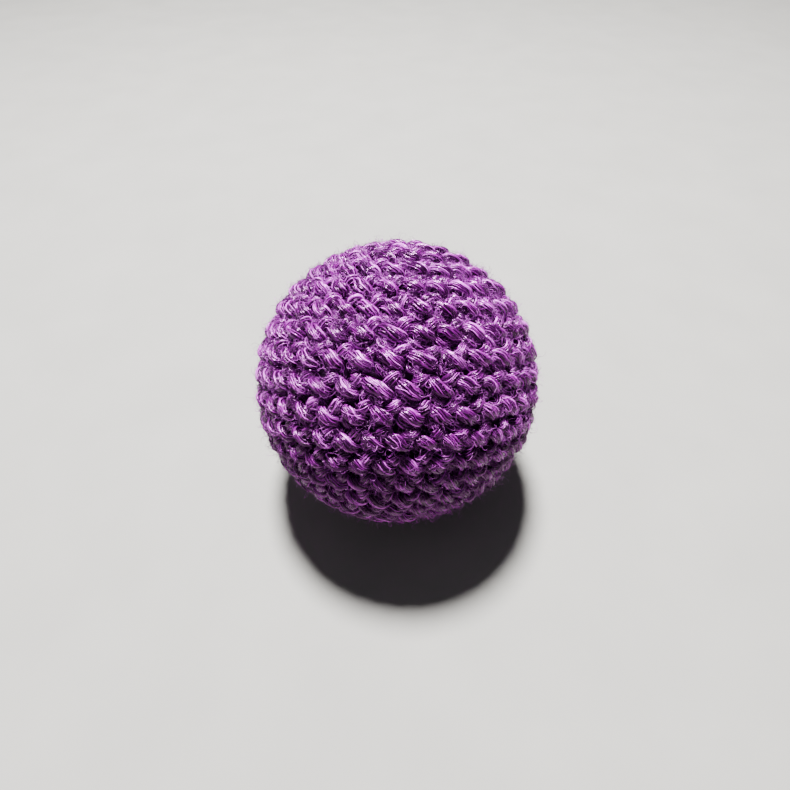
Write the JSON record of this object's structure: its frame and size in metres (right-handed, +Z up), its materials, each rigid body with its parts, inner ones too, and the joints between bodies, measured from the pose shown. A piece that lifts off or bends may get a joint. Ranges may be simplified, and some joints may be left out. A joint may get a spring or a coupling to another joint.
{
  "type": "juggling ball",
  "caption": "Crocheted juggling ball: a round purple yarn cover worked in rounds over fibre stuffing and a tied pouch of pellets.",
  "frame": {"origin": "centre of the flat patch the ball rests on", "axes": "+Z up; -Y is the side turned to the viewer in the default view; the crochet's working axis leans from +Z toward +Y"},
  "size_m": [0.0618, 0.062, 0.0609],
  "materials": {
    "yarn": "crocheted mercerised cotton yarn, purple, slight silky shine and short fuzz",
    "yarn_tail": "loose end of the same purple yarn",
    "stuffing": "dark plum fibre stuffing, matt",
    "pouch": "thin woven cotton, beige, matt",
    "tie": "black sewing thread, matt",
    "pellets": "translucent white moulded pellets"
  },
  "bodies": {
    "root": {"start_ring": "yarn", "round_01": "yarn", "round_02": "yarn", "round_03": "yarn", "round_04": "yarn", "round_05": "yarn", "round_06": "yarn", "round_07": "yarn", "round_08": "yarn", "round_09": "yarn", "round_10": "yarn", "round_11": "yarn", "round_12": "yarn", "round_13": "yarn", "round_14": "yarn", "round_15": "yarn", "round_16": "yarn", "round_17": "yarn", "round_18": "yarn", "closing_gather": "yarn", "start_tail": "yarn_tail", "finish_tail": "yarn_tail", "stuffing_upper": "stuffing", "stuffing_lower": "stuffing", "pellet_pouch": "pouch", "pouch_tie": "tie", "pellet_fill": "pellets"}
  },
  "joints": []
}
